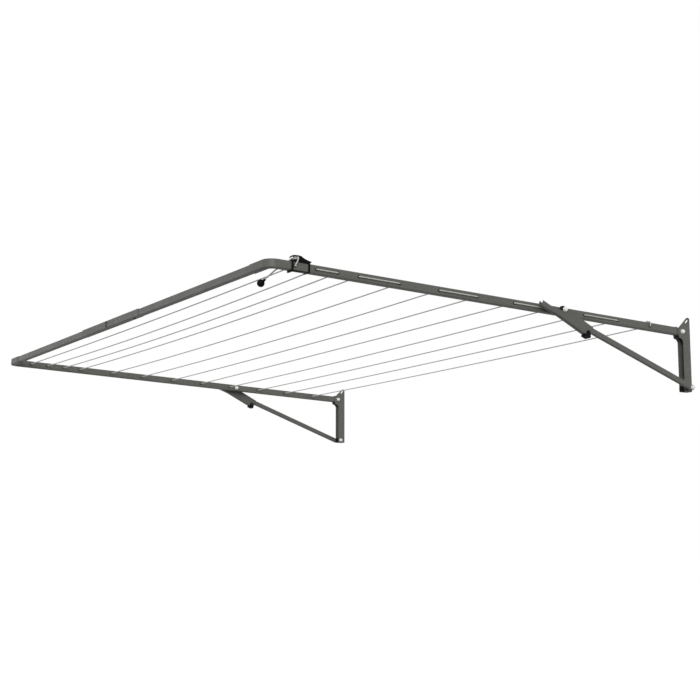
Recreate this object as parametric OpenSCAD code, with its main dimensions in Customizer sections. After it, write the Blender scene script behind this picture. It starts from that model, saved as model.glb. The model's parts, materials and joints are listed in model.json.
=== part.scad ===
// Wall mounted fold-down clothesline: a tube frame strung with one long line, two wall
// brackets, and a sliding strut under each side arm.
// X runs along the wall, -Y points out of the wall, +Z is up. The origin lies on the wall
// face, midway between the brackets, at the height of the fold pivot.
// "s" is a distance from the fold pivot along a side arm, "n" is a height above its axis.

/* [Frame] */
// Width over the outside of the two side arms
frame_w = 2215; // [1800:5:2600]
// Distance from the fold pivot to the front face of the frame
frame_d = 1558; // [1550:1:1700]
// Height of the arm tube
tube_h = 25; // [22:0.5:30]
// Width of the arm tube
tube_w = 22; // [22:0.5:30]
// Wall of the arm tube
tube_wall = 1.5; // [1:0.1:2]
// Outer radius of the bend at each front corner
bend_r = 36; // [30:1:70]
// Reach of each corner tube along the front, from the outside of the arm
corner_reach = 110; // [95:1:160]
// Rise of the side arms above level when the frame is up
arm_tilt = 2; // [0:0.5:5]

/* [Line] */
// Diameter of the line cord
cord_d = 4; // [3:0.1:4.4]
// Distance from the fold pivot to the rearmost line
back_line = 144; // [136:1:146]
// Distance between two lines; the front gaps are half of it
line_pitch = 140; // [136:1:140]
// Sag of the front line at its middle
front_sag = 12; // [0:1:20]
// Sag of the rear line at its middle
back_sag = 5; // [0:1:20]

/* [Front bar] */
// Length of each half of the joiner sleeve
joiner_half = 250; // [150:5:300]
// Offset of the joint from the middle of the frame
joint_x = -36; // [-60:1:60]

/* [Wall brackets] */
// Distance from the wall face to the fold pivot
pivot_out = 36; // [34:1:45]
// Thickness of the bracket plate
bracket_t = 2; // [1.5:0.1:2.5]
// Depth of the bracket cheeks below the pivot
cheek_depth = 33; // [31:1:36]
// Height of the bracket below the pivot
bracket_drop = 199; // [190:1:220]
// Drop of the strut's foot pivot below the fold pivot
foot_drop = 188; // [180:1:189]
// Distance between the two wall fixing holes
fixing_gap = 90; // [80:1:100]
// Diameter of the wall fixing holes
fixing_d = 8.5; // [6:0.5:10]

/* [Brace] */
// Distance from the fold pivot to the brace pivot
brace_at = 527; // [515:1:532]
// Distance from the brace pivot down to the strut's axis
strut_drop = 15.5; // [15:0.5:17]
// Width of the strut tube
strut_w = 12.5; // [11:0.1:12.8]
// Height of the strut tube
strut_h = 17.5; // [16:0.5:18]
// Outer width of the brace channel
channel_w = 18; // [18:0.1:20]
// Plate thickness of the brace channel
channel_t = 1.5; // [1.2:0.1:1.5]

/* [Hidden] */
$fn = 48;

paint = "#62645f";
paint_dark = "#4e504b";
black = "#161616";
zinc = "#e4e4e0";
cord_grey = "#d4d4d0";

half_w = frame_w / 2;
arm_mid = -tube_w / 2;          // middle of an arm, from its outer face
corner_r = 2.5;                 // outside corner of the arm tube
arm_tail = 14;                  // arm tube behind the fold pivot
bar_fit = 0.05;                 // clearance of the front bar in the corner tubes
bar_wall = 1.2;
bar_h = tube_h - 2 * tube_wall - 2 * bar_fit;
bar_w = tube_w - 2 * tube_wall - 2 * bar_fit;
bar_insert = 54;                // front bar held inside a corner tube
seam = 2.5;                     // gap between the two halves of the joiner
sleeve_t = 1.5;
sleeve_gap = 0.1;
spigot_half = 210;
screw_r = 2;
screw_hole_r = 2.1;
screw_head_r = 4.5;
joiner_screw_at = [[-23, 6], [-23, -5]];   // front face: from the joint, and height
joiner_under_at = 200;          // one from below
corner_screw_at = 82;           // from the outside of the arm

lines = 12;
half_gaps = 3;                  // half-pitch gaps at the front
cord_r = cord_d / 2;
eyelet_bore_r = cord_r + 0.3;
eyelet_r = 3.4;
eyelet_hole_r = 3.5;
eyelet_flange_r = 4.5;
eyelet_flange_t = 1;
run_off = 3.2;                  // line outside an arm, from the arm's face
turn_steps = [[1.2, 0], [2.7, 0.6], [3.2, 2.4]];
span_parts = 8;
cord_sides = 8;

side_gap = 0.5;                 // play on each side of an arm in its bracket
cheek_in = tube_w / 2 + side_gap;
cheek_out = cheek_in + bracket_t;
lobe_r = 20;                    // cheek round the fold pivot
ear_r = 10;
ear_at = [-10, 39];
ear_slot = [[-20, 31.5], [-12, 39.5]];
ear_slot_r = 2.6;
flare_r = 16;                   // hollow curve under the pivot lobe
flare_z = -38;
web_top = 20;
foot_back = 14;                 // foot pivot, nearer the wall than the fold pivot
foot_y = foot_back - pivot_out;
fixing_mid = -105;
fold_r = 3;                     // outside radius of the bracket's folds
ear_top_z = 52;
foot_block_h = 19;
foot_block_gap = 0.05;

bolt_r = 4;
bolt_hole_r = 4.15;
run_r = 4.06;                   // bore that turns on a bolt
flange_r = 7.7;
flange_t = 1.2;
hex_r = 6.9;
hex_h = 5.5;
nut_h = 6.5;
play = 0.3;                     // end float beside a turning part
bush_r = 7;

channel_in = 10;                // arm's outer face to the channel
channel_out = channel_in + channel_w;
strut_mid = channel_in + channel_w / 2;
spacer_r = 8;
strut_wall = 1.3;
strut_end_u = 36;               // strut beyond the brace pivot, frame up
strut_solid = 14;
strut_r = 1.5;                  // outside corner radius of the strut tube
ear_top_r = 8.5;
pin_r = 2.5;
pin_run_r = 2.56;
boss_r = 7.7;
lever_t = 3;
lever_gap = 0.4;
hub_floor = channel_out + lever_gap + lever_t - 1;   // blind end of the outer hub's bore
cam_r = 5.8;
cam_x = [14.3, 25.6];
spring_x = [12, 13.8];
spring_r = 4;
spring_wire_r = 0.35;
spring_turns = 2;
spring_steps = 12;              // rings of wire in a turn

// Brace pivot and foot pivot as [distance out, height] from the fold pivot
brace_p = [brace_at * cos(arm_tilt), brace_at * sin(arm_tilt)];
foot_p = [-foot_back, -foot_drop];
link = norm(brace_p - foot_p);
strut_run = sqrt(link * link - strut_drop * strut_drop);
strut_rise = atan2(brace_p[1] - foot_p[1], brace_p[0] - foot_p[0]) - asin(strut_drop / link);

// Heights in a brace: the strut's two faces, then the channel's lower edge
strut_top = -strut_drop + strut_h / 2;
strut_low = -strut_drop - strut_h / 2;
tip_foot = [88, strut_low - 0.25 - channel_t];
knee_foot = [15, tip_foot[1] - 0.3];
heel_foot = [-97, strut_low - 14.25];
heel_end = [[-121.5, strut_low - 8.75], [-123.5, -6]];
pin_at = [-108.8, strut_low - 6.95];

// Places on the tensioner, as s along the arm
clip_front = 1484;
clip_back = 1425.5;
clip_leg = [5, 5];              // front leg, rear leg
clip_t = 3;
clip_top = 3.5;
keeper_t = [4.6, 1.4];          // front, rear
cleat_s = 1462;
post_half = 3;
post_r = 4;
post_top = 28.9;
rib_w = 10;
wrap_r = 6.2;
wrap_n = [22.5, 26.6];          // heights of the two turns of line
pad_top = 20.4;                 // collar under the turns of line
pad_r = 7.5;
guard_x = -2.4;                 // plate outside the turns, behind the lead
guard_t = 2;
guard_s = [1446.5, 1460.3];
line_lead_path = [[-4.8, 1462, 26.8], [-1.4, 1463.4, 26.6], [2.6, 1464.6, 23.5],
                  [5.1, 1466.2, 18], [5.4, 1468.4, 12], [4.6, 1471, 6.5], [3.9, 1473.4, 0]];
line_end_path = [[3.4, -1], [3.4, 6], [3, 12], [0.6, 15.2], [-4, 14.8], [-10, 14.8]];
knot_r = 4;
// Free tail of the line, from the cleat to the ball: x from the arm's face, s and n
tail_path = [[-19.6, 1462, 24.6], [-20.5, 1467, 25.2], [-22, 1472, 24], [-25, 1477, 20.5],
             [-28.2, 1482, 15], [-29.5, 1487, 9], [-31, 1493, 3], [-34.5, 1501, -3],
             [-40, 1510, -9], [-48, 1516, -16], [-56, 1520.6, -23], [-64, 1525.4, -30],
             [-73.5, 1531.1, -38.3]];
ball_at = [-80, 1535, -44];
ball_r = 11;

// ---------------------------------------------------------------- frames of reference

// Puts a part drawn against an arm's outer face on the right (1) or left (-1) arm
module on_side(side) {
    if (side > 0)
        translate([half_w, 0, 0]) children();
    else
        mirror([1, 0, 0]) translate([half_w, 0, 0]) children();
}

// The folding frame: origin at the fold pivot, -Y along the side arms
module in_frame() {
    translate([0, -pivot_out, 0]) rotate([-arm_tilt, 0, 0]) children();
}

// A brace: origin at the brace pivot, -Y up along the strut
module in_brace() {
    translate([0, -pivot_out - brace_p[0], brace_p[1]])
        rotate([-strut_rise, 0, 0]) children();
}

// A brace drawn as [u, w]: u up along the strut, w square to it
module brace_plate(x0, t) {
    translate([x0, 0, 0]) rotate([90, 0, 90]) linear_extrude(t) mirror([1, 0]) children();
}

// A plate across X from x0, drawn as [y, z]
module side_plate(x0, t) {
    translate([x0, 0, 0]) rotate([90, 0, 90]) linear_extrude(t) children();
}

module x_rod(r, x0, x1) {
    translate([x0, 0, 0]) rotate([0, 90, 0]) cylinder(r = r, h = x1 - x0);
}

// ---------------------------------------------------------------- shared shapes

module round_rect(w, h, r) {
    square([w - 2 * r, h], center = true);
    square([w, h - 2 * r], center = true);
    for (x = [-1, 1], y = [-1, 1])
        translate([x * (w / 2 - r), y * (h / 2 - r)]) circle(r);
}

module tube_section(w, h, wall, r) {
    difference() {
        round_rect(w, h, r);
        round_rect(w - 2 * wall, h - 2 * wall, max(r - wall, 0.5));
    }
}

// Flat bar between two round ends, its sides tangent to both
module tapered_link(a, ra, b, rb) {
    dir = atan2(b[1] - a[1], b[0] - a[0]);
    open = acos((ra - rb) / norm(b - a));
    translate(a) circle(ra);
    translate(b) circle(rb);
    polygon([
        a + ra * [cos(dir + open), sin(dir + open)],
        b + rb * [cos(dir + open), sin(dir + open)],
        b + rb * [cos(dir - open), sin(dir - open)],
        a + ra * [cos(dir - open), sin(dir - open)]
    ]);
}

// Flanged hex head; its seat is at the origin and it stands along X (dir is 1 or -1)
module hex_head(dir) {
    rotate([0, 90 * dir, 0]) {
        cylinder(r = flange_r, h = flange_t);
        translate([0, 0, flange_t]) cylinder(r = hex_r, h = hex_h - 1, $fn = 6);
        translate([0, 0, flange_t + hex_h - 1]) cylinder(r1 = hex_r * 0.86, r2 = hex_r * 0.7, h = 1);
    }
}

module nut(dir) {
    rotate([0, 90 * dir, 0]) difference() {
        union() {
            cylinder(r = flange_r, h = flange_t);
            translate([0, 0, flange_t]) cylinder(r = hex_r, h = nut_h - flange_t, $fn = 6);
        }
        translate([0, 0, -1]) cylinder(r = run_r, h = nut_h + 2);
    }
}

function unit(v) = v / norm(v);
function tangent(p, i) = unit(p[min(i + 1, len(p) - 1)] - p[max(i - 1, 0)]);
function ring(c, t, ref, r, n) =
    let (a = unit(cross(t, ref)), b = cross(a, t))
    [for (k = [0 : n - 1]) c + r * (cos(360 * (k + 0.5) / n) * a + sin(360 * (k + 0.5) / n) * b)];

// Round cord along a path; ref is a direction that the path never takes
module sweep(path, r, ref, n = cord_sides) {
    m = len(path);
    points = [for (i = [0 : m - 1]) each ring(path[i], tangent(path, i), ref, r, n)];
    walls = [for (i = [0 : m - 2], k = [0 : n - 1])
        let (a = i * n + k, b = i * n + (k + 1) % n)
        each [[a, b, b + n], [a, b + n, a + n]]];
    first = [for (k = [n - 1 : -1 : 0]) k];
    last = [for (k = [0 : n - 1]) (m - 1) * n + k];
    polyhedron(points, concat(walls, [first, last]));
}

// ---------------------------------------------------------------- wall brackets

module cheek_outline() {
    difference() {
        union() {
            translate([-cheek_depth, -bracket_drop]) square([cheek_depth, bracket_drop + web_top]);
            translate([-pivot_out, 0]) circle(lobe_r);
            polygon([[0, 0], [-pivot_out, 0], [-52, -12], [-50, -22], [-cheek_depth, flare_z],
                     [0, flare_z]]);
        }
        translate([-cheek_depth - flare_r, flare_z]) circle(flare_r);
        translate([-cheek_depth - 1, web_top - 8]) square([8, 20]);
    }
}

module eared_outline() {
    difference() {
        union() {
            cheek_outline();
            tapered_link([-pivot_out, 0], lobe_r, ear_at, ear_r);
            polygon([[0, 0], [-pivot_out, 0], ear_at, [0, ear_at[1]]]);
        }
        tapered_link(ear_slot[0], ear_slot_r, ear_slot[1], ear_slot_r);
    }
}

// Plan of the folded plate: a back against the wall and two cheeks
module folded_section(w, depth) {
    translate([0, -depth]) difference() {
        round_rect(w, 2 * depth, fold_r);
        translate([0, -bracket_t]) round_rect(w - 2 * bracket_t, 2 * depth, fold_r - bracket_t);
    }
}

// Both brackets are one pressing: the eared cheek is on the +X side of each
module wall_bracket(x_mid) {
    reach = pivot_out + lobe_r;
    color(paint) translate([x_mid, 0, 0]) difference() {
        intersection() {
            translate([0, 0, -bracket_drop]) linear_extrude(bracket_drop + ear_top_z)
                folded_section(2 * cheek_out, reach);
            union() {
                side_plate(-cheek_out, 2 * cheek_out) cheek_outline();
                side_plate(0, cheek_out) eared_outline();
            }
        }
        translate([-cheek_out - 1, -reach - 1, web_top]) cube([cheek_out + 1 + cheek_in, reach + 2, 40]);
        translate([0, -pivot_out, 0]) x_rod(bolt_hole_r, -cheek_out - 1, cheek_out + 1);
        translate([0, foot_y, -foot_drop]) x_rod(bolt_hole_r, -cheek_out - 1, cheek_out + 1);
        for (dz = [-1, 1])
            translate([0, 1, fixing_mid + dz * fixing_gap / 2])
                rotate([90, 0, 0]) cylinder(r = fixing_d / 2, h = bracket_t + 2);
    }
}
module wall_bracket_left() { wall_bracket(-half_w - arm_mid); }
module wall_bracket_right() { wall_bracket(half_w + arm_mid); }

// Plastic block that closes the foot of the bracket channel and spaces its cheeks
module bracket_foot(x_mid) {
    w = 2 * (cheek_in - foot_block_gap);
    color(black) translate([x_mid, 0, 0]) difference() {
        side_plate(-w / 2, w) difference() {
            translate([-cheek_depth, -bracket_drop])
                square([cheek_depth - bracket_t - 2, foot_block_h]);
            translate([-cheek_depth, -bracket_drop]) rotate(45) square(5, center = true);
        }
        translate([0, foot_y, -foot_drop]) x_rod(bolt_hole_r, -w, w);
    }
}
module bracket_foot_left() { bracket_foot(-half_w - arm_mid); }
module bracket_foot_right() { bracket_foot(half_w + arm_mid); }

// Bolts through both cheeks and the arm's bush, heads outboard
module pivot_bolts() {
    color(zinc) for (side = [-1, 1]) on_side(side) translate([0, -pivot_out, 0]) {
        translate([side_gap + bracket_t, 0, 0]) hex_head(1);
        x_rod(bolt_r, -tube_w - side_gap - bracket_t - nut_h - 2, side_gap + bracket_t);
    }
}
module pivot_nuts() {
    color(zinc) for (side = [-1, 1]) on_side(side) translate([0, -pivot_out, 0])
        translate([-tube_w - side_gap - bracket_t, 0, 0]) nut(-1);
}
// Foot bolts hold the blocks in the brackets and end flush with the outboard cheeks
module foot_bolts() {
    color(zinc) for (side = [-1, 1]) on_side(side) translate([0, foot_y, -foot_drop]) {
        translate([-tube_w - side_gap - bracket_t, 0, 0]) hex_head(-1);
        x_rod(bolt_r, -tube_w - side_gap - bracket_t, side_gap + bracket_t);
    }
}

// ---------------------------------------------------------------- tube frame

function hole_s(i) =
    back_line + line_pitch * (i <= half_gaps
        ? lines - 1 - half_gaps + (half_gaps - i) / 2
        : lines - 1 - i);

module arm(side) {
    straight = frame_d - bend_r;
    mid_r = bend_r + arm_mid;
    color(paint) on_side(side) in_frame() difference() {
        union() {
            translate([arm_mid, arm_tail, 0]) rotate([90, 0, 0])
                linear_extrude(straight + arm_tail) tube_section(tube_w, tube_h, tube_wall, corner_r);
            translate([-bend_r, -straight, 0]) rotate([0, 0, -90])
                rotate_extrude(angle = 90, $fn = 96)
                    translate([mid_r, 0]) tube_section(tube_w, tube_h, tube_wall, corner_r);
            side_plate(-corner_reach, corner_reach - bend_r)
                translate([-frame_d - arm_mid, 0])
                    tube_section(tube_w, tube_h, tube_wall, corner_r);
        }
        x_rod(bush_r + bar_fit, -tube_w - 1, 1);
        translate([0, -brace_at, 0]) x_rod(bolt_hole_r, -tube_w - 1, 1);
        for (i = [0 : lines - 1])
            translate([0, -hole_s(i), 0]) x_rod(eyelet_hole_r, -tube_w - 1, 1);
        translate([-corner_screw_at, -frame_d - arm_mid, 0])
            cylinder(r = screw_hole_r, h = tube_h);
    }
}
module arm_left() { arm(-1); }
module arm_right() { arm(1); }

// Plug in the open rear end of an arm tube
module arm_plug(side) {
    color(black) on_side(side) in_frame() translate([arm_mid, 0, 0]) rotate([90, 0, 0]) {
        translate([0, 0, -arm_tail - 2]) linear_extrude(2) round_rect(tube_w, tube_h, corner_r);
        translate([0, 0, -arm_tail]) linear_extrude(5)
            round_rect(tube_w - 2 * tube_wall - 0.1, tube_h - 2 * tube_wall - 0.1, 1);
    }
}
module arm_plug_left() { arm_plug(-1); }
module arm_plug_right() { arm_plug(1); }

// Nylon bushes fixed in the arms, turning on the pivot bolts
module pivot_bushes() {
    ends = side_gap - 0.2;
    color(black) for (side = [-1, 1]) on_side(side) in_frame() difference() {
        x_rod(bush_r, -tube_w - ends, ends);
        x_rod(run_r, -tube_w - 2, 2);
    }
}

module bar_profile() { tube_section(bar_w, bar_h, bar_wall, corner_r - tube_wall); }
module bar_line(x0, x1) {
    in_frame() side_plate(x0, x1 - x0) translate([-frame_d - arm_mid, 0]) children();
}
module joiner_holes(r) {
    in_frame() {
        for (p = joiner_screw_at)
            translate([joint_x + p[0], -frame_d - arm_mid, p[1]]) rotate([90, 0, 0])
                cylinder(r = r, h = tube_w);
        translate([joint_x + joiner_under_at, -frame_d - arm_mid, -tube_h])
            cylinder(r = r, h = tube_h);
    }
}
module corner_hole(side) {
    on_side(side) in_frame() translate([-corner_screw_at, -frame_d - arm_mid, 0])
        cylinder(r = screw_hole_r, h = tube_h);
}
module front_bar_left() {
    color(paint) difference() {
        bar_line(-half_w + bar_insert, joint_x - seam / 2) bar_profile();
        joiner_holes(screw_hole_r);
        corner_hole(-1);
    }
}
module front_bar_right() {
    color(paint) difference() {
        bar_line(joint_x + seam / 2, half_w - bar_insert) bar_profile();
        joiner_holes(screw_hole_r);
        corner_hole(1);
    }
}

// Each half of the joiner is a channel that drops over the bar from above
module joiner(x0) {
    inner_w = bar_w + 2 * sleeve_gap;
    rise = bar_h / 2 + sleeve_gap;
    color(paint) difference() {
        bar_line(x0, x0 + joiner_half - seam / 2) difference() {
            translate([-inner_w / 2 - sleeve_t, -bar_h / 2])
                square([inner_w + 2 * sleeve_t, bar_h / 2 + rise + sleeve_t]);
            translate([-inner_w / 2, -bar_h]) square([inner_w, bar_h + rise]);
        }
        joiner_holes(screw_hole_r);
    }
}
module joiner_left() { joiner(joint_x - joiner_half); }
module joiner_right() { joiner(joint_x + seam / 2); }

// Inner tube that bridges the joint of the two bars
module bar_spigot() {
    gap = 0.1;
    color(paint_dark) difference() {
        bar_line(joint_x - spigot_half, joint_x + spigot_half)
            tube_section(bar_w - 2 * bar_wall - gap, bar_h - 2 * bar_wall - gap, bar_wall, 1.5);
        joiner_holes(screw_hole_r);
    }
}

// Pan-head screw; its seat is at the origin and its shank runs down
module pan_screw() {
    translate([0, 0, -7]) cylinder(r = screw_r, h = 7);
    cylinder(r1 = screw_head_r, r2 = screw_head_r * 0.7, h = 2);
}
module joiner_screws() {
    face = bar_w / 2 + sleeve_gap + sleeve_t;
    color(black) in_frame() {
        for (p = joiner_screw_at)
            translate([joint_x + p[0], -frame_d - arm_mid - face, p[1]])
                rotate([90, 0, 0]) pan_screw();
        translate([joint_x + joiner_under_at, -frame_d - arm_mid, -bar_h / 2])
            rotate([180, 0, 0]) pan_screw();
    }
}
module corner_screws() {
    color(paint) for (side = [-1, 1]) on_side(side) in_frame()
        translate([-corner_screw_at, -frame_d - arm_mid, tube_h / 2]) pan_screw();
}

// ---------------------------------------------------------------- line and its fittings

// Sleeves with a flange on each face of the arm; the line runs through them
module grommets(side) {
    color(black) on_side(side) in_frame() for (i = [0 : lines - 1])
        translate([0, -hole_s(i), 0]) difference() {
            union() {
                x_rod(eyelet_r, -tube_w - eyelet_flange_t, eyelet_flange_t);
                x_rod(eyelet_flange_r, 0, eyelet_flange_t);
                x_rod(eyelet_flange_r, -tube_w - eyelet_flange_t, -tube_w);
            }
            x_rod(eyelet_bore_r, -tube_w - 2, 2);
        }
}
module grommets_left() { grommets(-1); }
module grommets_right() { grommets(1); }

function sag(i) = front_sag + (back_sag - front_sag) * i / (lines - 1);
function start_side(i) = i % 2 == 0 ? 1 : -1;
function turn_out(i, e) = [for (t = turn_steps) [e * (half_w + t[0]), -(hole_s(i) - t[1]), 0]];
function turn_in(i, e) =
    [for (k = [len(turn_steps) - 1 : -1 : 0])
        [e * (half_w + turn_steps[k][0]), -(hole_s(i) + turn_steps[k][1]), 0]];
function span(i, e) =
    let (inner = half_w - tube_w - eyelet_flange_t)
    [for (j = [0 : span_parts])
        let (f = 1 - 2 * j / span_parts) [e * inner * f, -hole_s(i), -sag(i) * (1 - f * f)]];
// On the left arm one outer run passes over the brace spacer
over_brace = 8;                 // the line that this run leaves
function detour(i, e) = i != over_brace ? [] :
    [for (a = [74, 85, 96])
        let (r = spacer_r + cord_r + 0.3)
        [e * (half_w + run_off), -(brace_at + r * cos(a)), r * sin(a)]];
function line_path() = [
    for (i = [0 : lines - 1])
        let (e = start_side(i))
        each concat(
            i == 0 ? [[e * (half_w + run_off + 2), -hole_s(0), 0]] : turn_in(i, e),
            span(i, e),
            i == lines - 1 ? [[-e * (half_w + run_off + 1.5), -hole_s(i), 0]] : turn_out(i, -e),
            detour(i, -e))
];

// One cord laced to and fro through both arms
module clothes_line() {
    color(cord_grey) in_frame() sweep(line_path(), cord_r, [0, 0, 1]);
}
// The cord from the cleat down to its first hole
module line_lead() {
    color(cord_grey) on_side(1) in_frame()
        sweep([for (p = line_lead_path) [p[0], -p[1], p[2]]], cord_r, [0, 1, 0]);
}
// The cord's tied end: out of the last hole, over the arm, and a knot
module line_end() {
    last = hole_s(lines - 1);
    color(cord_grey) on_side(1) in_frame() {
        sweep([for (p = line_end_path) [p[0], -last, p[1]]], cord_r, [0, 1, 0]);
        translate([-10 - knot_r / 2, -last, 12.5 + knot_r]) sphere(knot_r);
    }
}

// Outline of a short slot-shaped post or turn of line, half_l each way along the arm
module along_arm(half_l, r) {
    for (e = [-1, 1]) translate([0, e * half_l]) circle(r);
    square([2 * r, 2 * half_l], center = true);
}

// Clip over the arm, with a post for the line and a horn at each end of a rib above it
module line_tensioner() {
    inner = -tube_w - clip_t;
    top = tube_h / 2 + clip_top;
    color(black) on_side(1) in_frame() {
        translate([inner, -clip_front, tube_h / 2])
            cube([tube_w + 2 * clip_t, clip_front - clip_back, clip_top]);
        for (x = [inner, 0]) {
            translate([x, -clip_front, -tube_h / 2]) cube([clip_t, clip_leg[0], tube_h]);
            translate([x, -clip_back - clip_leg[1], -tube_h / 2])
                cube([clip_t, clip_leg[1], tube_h]);
        }
        translate([arm_mid, -cleat_s, top - 0.5]) linear_extrude(post_top + 0.5 - top)
            along_arm(post_half, post_r);
        translate([arm_mid, -cleat_s, top - 0.5]) linear_extrude(pad_top + 0.5 - top)
            along_arm(post_half, pad_r);
        side_plate(guard_x, guard_t) polygon([
            for (p = [[guard_s[0], top - 0.5], [guard_s[1], top - 0.5],
                      [guard_s[1], post_top], [guard_s[0], post_top - 2]])
                [-p[0], p[1]]
        ]);
        side_plate(arm_mid - rib_w / 2, rib_w) polygon([
            for (p = [[1475.5, post_top], [1482, 23.5], [1484, 25.5], [1479, 30.6], [1472, 32.8],
                      [1460, 33.6], [1450, 32.8], [1446, 30.4], [1441, 27.6], [1430, 24],
                      [1418, 21.4], [1416, 20], [1417, 18.4], [clip_back, 17.5],
                      [clip_back, top - 0.5], [1449.5, top - 0.5], [1449.5, post_top]])
                [-p[0], p[1]]
        ]);
    }
}
// Bar that closes the clip under the arm: an outer rail and two straps
module tensioner_keeper() {
    under = -tube_h / 2;
    color(black) on_side(1) in_frame() {
        side_plate(0, clip_t)
            polygon([[-clip_front, under], [-clip_front, under - keeper_t[0]],
                     [-clip_back, under - keeper_t[1]], [-clip_back, under]]);
        translate([-tube_w - clip_t, -clip_front, under - keeper_t[0]])
            cube([tube_w + clip_t, clip_leg[0], keeper_t[0]]);
        translate([-tube_w - clip_t, -clip_back - clip_leg[1], under - keeper_t[1]])
            cube([tube_w + clip_t, clip_leg[1], keeper_t[1]]);
    }
}
// Turns of the line round the cleat's post
module cleat_wraps() {
    color(cord_grey) on_side(1) in_frame() for (n = wrap_n)
        translate([arm_mid, -cleat_s, n]) {
            for (e = [-1, 1]) {
                translate([0, e * post_half, 0]) rotate([0, 0, e * 90 - 90])
                    rotate_extrude(angle = 180) translate([wrap_r, 0]) circle(cord_r);
                translate([e * wrap_r, post_half, 0]) rotate([90, 0, 0])
                    cylinder(r = cord_r, h = 2 * post_half);
            }
        }
}
module cord_tail() {
    color(cord_grey) on_side(1) in_frame()
        sweep([for (p = tail_path) [p[0], -p[1], p[2]]], cord_r, [1, 0, 0.2]);
}
// Pull ball on the tail
module cord_ball() {
    color(black) on_side(1) in_frame() translate([ball_at[0], -ball_at[1], ball_at[2]])
        sphere(ball_r);
}

// ---------------------------------------------------------------- braces

module brace_bolts() {
    color(zinc) for (side = [-1, 1]) on_side(side) in_frame() translate([0, -brace_at, 0]) {
        translate([channel_out + play, 0, 0]) hex_head(1);
        x_rod(bolt_r, -tube_w - nut_h - 2, channel_out + play);
    }
}
module brace_nuts() {
    color(zinc) for (side = [-1, 1]) on_side(side) in_frame()
        translate([-tube_w, -brace_at, 0]) nut(-1);
}
module brace_spacers() {
    color(black) for (side = [-1, 1]) on_side(side) in_frame()
        translate([0, -brace_at, 0]) difference() {
            x_rod(spacer_r, 0, channel_in - play);
            x_rod(bolt_hole_r, -1, channel_in);
        }
}

// Lower edge of the channel behind the knee
function web_w(u) = knee_foot[1] + (u - knee_foot[0]) * (heel_foot[1] - knee_foot[1])
    / (heel_foot[0] - knee_foot[0]);

module channel_cheek() {
    polygon(concat([[88, -9], [56, -12], [22, -8.8], [7, -7.5], [-2, 8.2]],
                   [heel_end[1], heel_end[0], heel_foot, knee_foot, tip_foot]));
    circle(ear_top_r);
}
module brace_channel(side) {
    color(paint) on_side(side) in_brace() difference() {
        union() {
            brace_plate(channel_in, channel_t) channel_cheek();
            brace_plate(channel_out - channel_t, channel_t) channel_cheek();
            brace_plate(channel_in, channel_w)
                polygon([tip_foot, knee_foot, heel_foot, heel_foot + [0, channel_t],
                         knee_foot + [0, channel_t], tip_foot + [0, channel_t]]);
        }
        x_rod(bolt_hole_r, channel_in - 1, channel_out + 1);
        translate([0, -pin_at[0], pin_at[1]]) x_rod(pin_run_r, channel_in - 1, channel_out + 1);
    }
}
module brace_channel_left() { brace_channel(-1); }
module brace_channel_right() { brace_channel(1); }

// Nylon block between the channel's cheeks, on the brace bolt, close above the strut
module channel_bush(side) {
    seat = strut_top + 0.35;
    color(black) on_side(side) in_brace() difference() {
        brace_plate(channel_in + channel_t, channel_w - 2 * channel_t)
            polygon([[9, seat], [9, 9.2], [-2, 9.2], [-8, 5], [-8, seat]]);
        x_rod(run_r, channel_in, channel_out);
    }
}
module channel_bush_left() { channel_bush(-1); }
module channel_bush_right() { channel_bush(1); }

// Two nylon blocks in the channel; the strut slides through them
module strut_guides(side) {
    slot_w = strut_w + 2 * play;
    slot_h = strut_h + play;
    roof = strut_top + play + 1.2;
    color(black) on_side(side) in_brace() for (u = [[-34, -14], [-80, -60]])
        difference() {
            brace_plate(channel_in + channel_t, channel_w - 2 * channel_t)
                polygon([[u[0], roof], [u[1], roof], [u[1], web_w(u[1]) + channel_t + 0.05],
                         [u[0], web_w(u[0]) + channel_t + 0.05]]);
            translate([strut_mid - slot_w / 2, -u[1] - 1, -strut_drop - slot_h / 2])
                cube([slot_w, u[1] - u[0] + 2, slot_h]);
        }
}
module strut_guides_left() { strut_guides(-1); }
module strut_guides_right() { strut_guides(1); }

// Latch lever: two cheeks outside the channel, a cam between them and a finger paddle.
// Outlines are measured from the latch pin.
lever_cheek = [[8, -6.5], [7.8, -13.3], [-10.7, -13.8], [-12.2, -7], [-7, -1]];
paddle = [[7.8, -8.3], [7.8, -13.3], [-10.7, -13.8], [-11.5, -10]];
module latch_lever(side) {
    color(black) on_side(side) in_brace() translate([0, -pin_at[0], pin_at[1]]) difference() {
        union() {
            for (x = [channel_in - lever_gap - lever_t, channel_out + lever_gap])
                brace_plate(x, lever_t) {
                    polygon(lever_cheek);
                    circle(boss_r);
                }
            brace_plate(channel_in - lever_gap - lever_t, channel_w + 2 * (lever_gap + lever_t))
                polygon(paddle);
            brace_plate(cam_x[0], cam_x[1] - cam_x[0]) {
                circle(cam_r);
                translate([-4, -11]) square([8, 11]);
            }
        }
        x_rod(pin_run_r, 0, hub_floor);
    }
}
module latch_lever_left() { latch_lever(-1); }
module latch_lever_right() { latch_lever(1); }

module latch_pin(side) {
    inner = channel_in - lever_gap - lever_t - play;
    color(black) on_side(side) in_brace() translate([0, -pin_at[0], pin_at[1]]) {
        x_rod(pin_r, inner, hub_floor - 0.1);
        x_rod(pin_r + 1.5, inner - 1.2, inner);
    }
}
module latch_pin_left() { latch_pin(-1); }
module latch_pin_right() { latch_pin(1); }

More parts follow.
